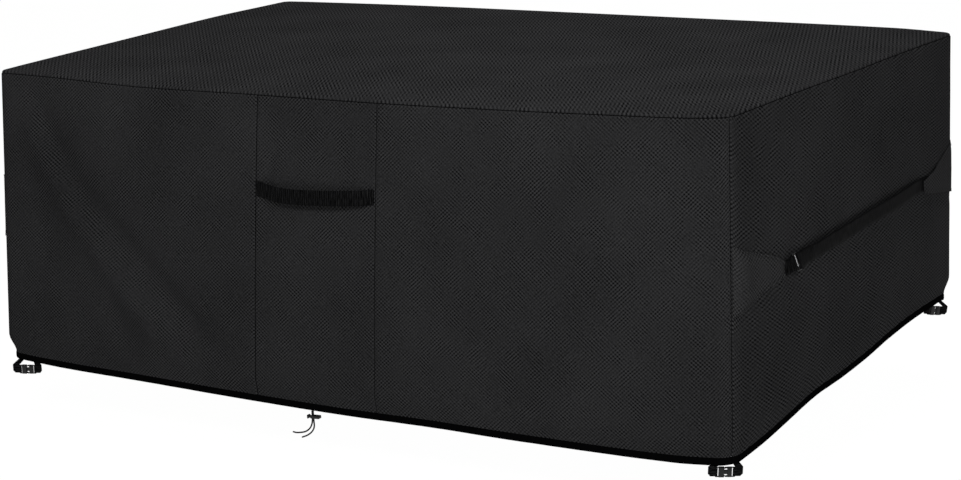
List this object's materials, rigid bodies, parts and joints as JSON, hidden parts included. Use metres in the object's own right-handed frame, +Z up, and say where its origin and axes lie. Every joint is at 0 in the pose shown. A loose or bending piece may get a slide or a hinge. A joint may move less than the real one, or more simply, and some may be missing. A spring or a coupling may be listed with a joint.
{
  "type": "fitted patio furniture cover",
  "caption": "Hollow fitted cloth cover for a long patio table or sofa, with a webbing handle, cinch straps at both ends, a drawcord hem and clip loops at the corners.",
  "frame": {"origin": "middle of the top cloth's underside, where the furniture holds the cover up", "axes": "+X along the long front towards the right end, -Y out of the front, +Z up"},
  "size_m": [2.2001, 1.3763, 0.8982],
  "materials": {
    "cover_cloth": "woven black polyester with a dull coated sheen",
    "binding_tape": "plain black woven tape",
    "webbing": "ribbed black webbing",
    "buckle_plastic": "satin black moulded plastic",
    "drawcord": "braided black cord"
  },
  "bodies": {
    "cover": {"back_panel": "cover_cloth", "buckle_plug_back_left": "buckle_plastic", "buckle_plug_back_right": "buckle_plastic", "buckle_plug_front_left": "buckle_plastic", "buckle_plug_front_right": "buckle_plastic", "buckle_socket_back_left": "buckle_plastic", "buckle_socket_back_right": "buckle_plastic", "buckle_socket_front_left": "buckle_plastic", "buckle_socket_front_right": "buckle_plastic", "cord_lock_barrel": "buckle_plastic", "drawcord_end_long": "drawcord", "drawcord_end_low": "drawcord", "end_panel_left": "cover_cloth", "end_panel_right": "cover_cloth", "end_strap_left": "webbing", "end_strap_left_short": "webbing", "end_strap_right": "webbing", "end_strap_right_short": "webbing", "front_handle": "webbing", "front_panel_centre": "cover_cloth", "front_panel_left": "cover_cloth", "front_panel_right": "cover_cloth", "hem_casing_back": "binding_tape", "hem_casing_front": "binding_tape", "hem_casing_left": "binding_tape", "hem_casing_right": "binding_tape", "hem_strap_back_left_plug": "webbing", "hem_strap_back_left_socket": "webbing", "hem_strap_back_right_plug": "webbing", "hem_strap_back_right_socket": "webbing", "hem_strap_front_left_plug": "webbing", "hem_strap_front_left_socket": "webbing", "hem_strap_front_right_plug": "webbing", "hem_strap_front_right_socket": "webbing", "strap_slide_left": "buckle_plastic", "strap_slide_right": "buckle_plastic", "strap_tab_left_back": "cover_cloth", "strap_tab_left_front": "cover_cloth", "strap_tab_right_back": "cover_cloth", "strap_tab_right_front": "cover_cloth", "top_panel": "cover_cloth"},
    "plunger": {"cord_lock_plunger": "buckle_plastic"}
  },
  "joints": [
    {"name": "cord_lock_press", "type": "slide", "parent": "cover", "child": "plunger", "axis": [0.9986, 0, 0.0523], "range_m": [0, 0.004], "stiffness_N_per_m": 2500, "springref_m": -0.002}
  ]
}
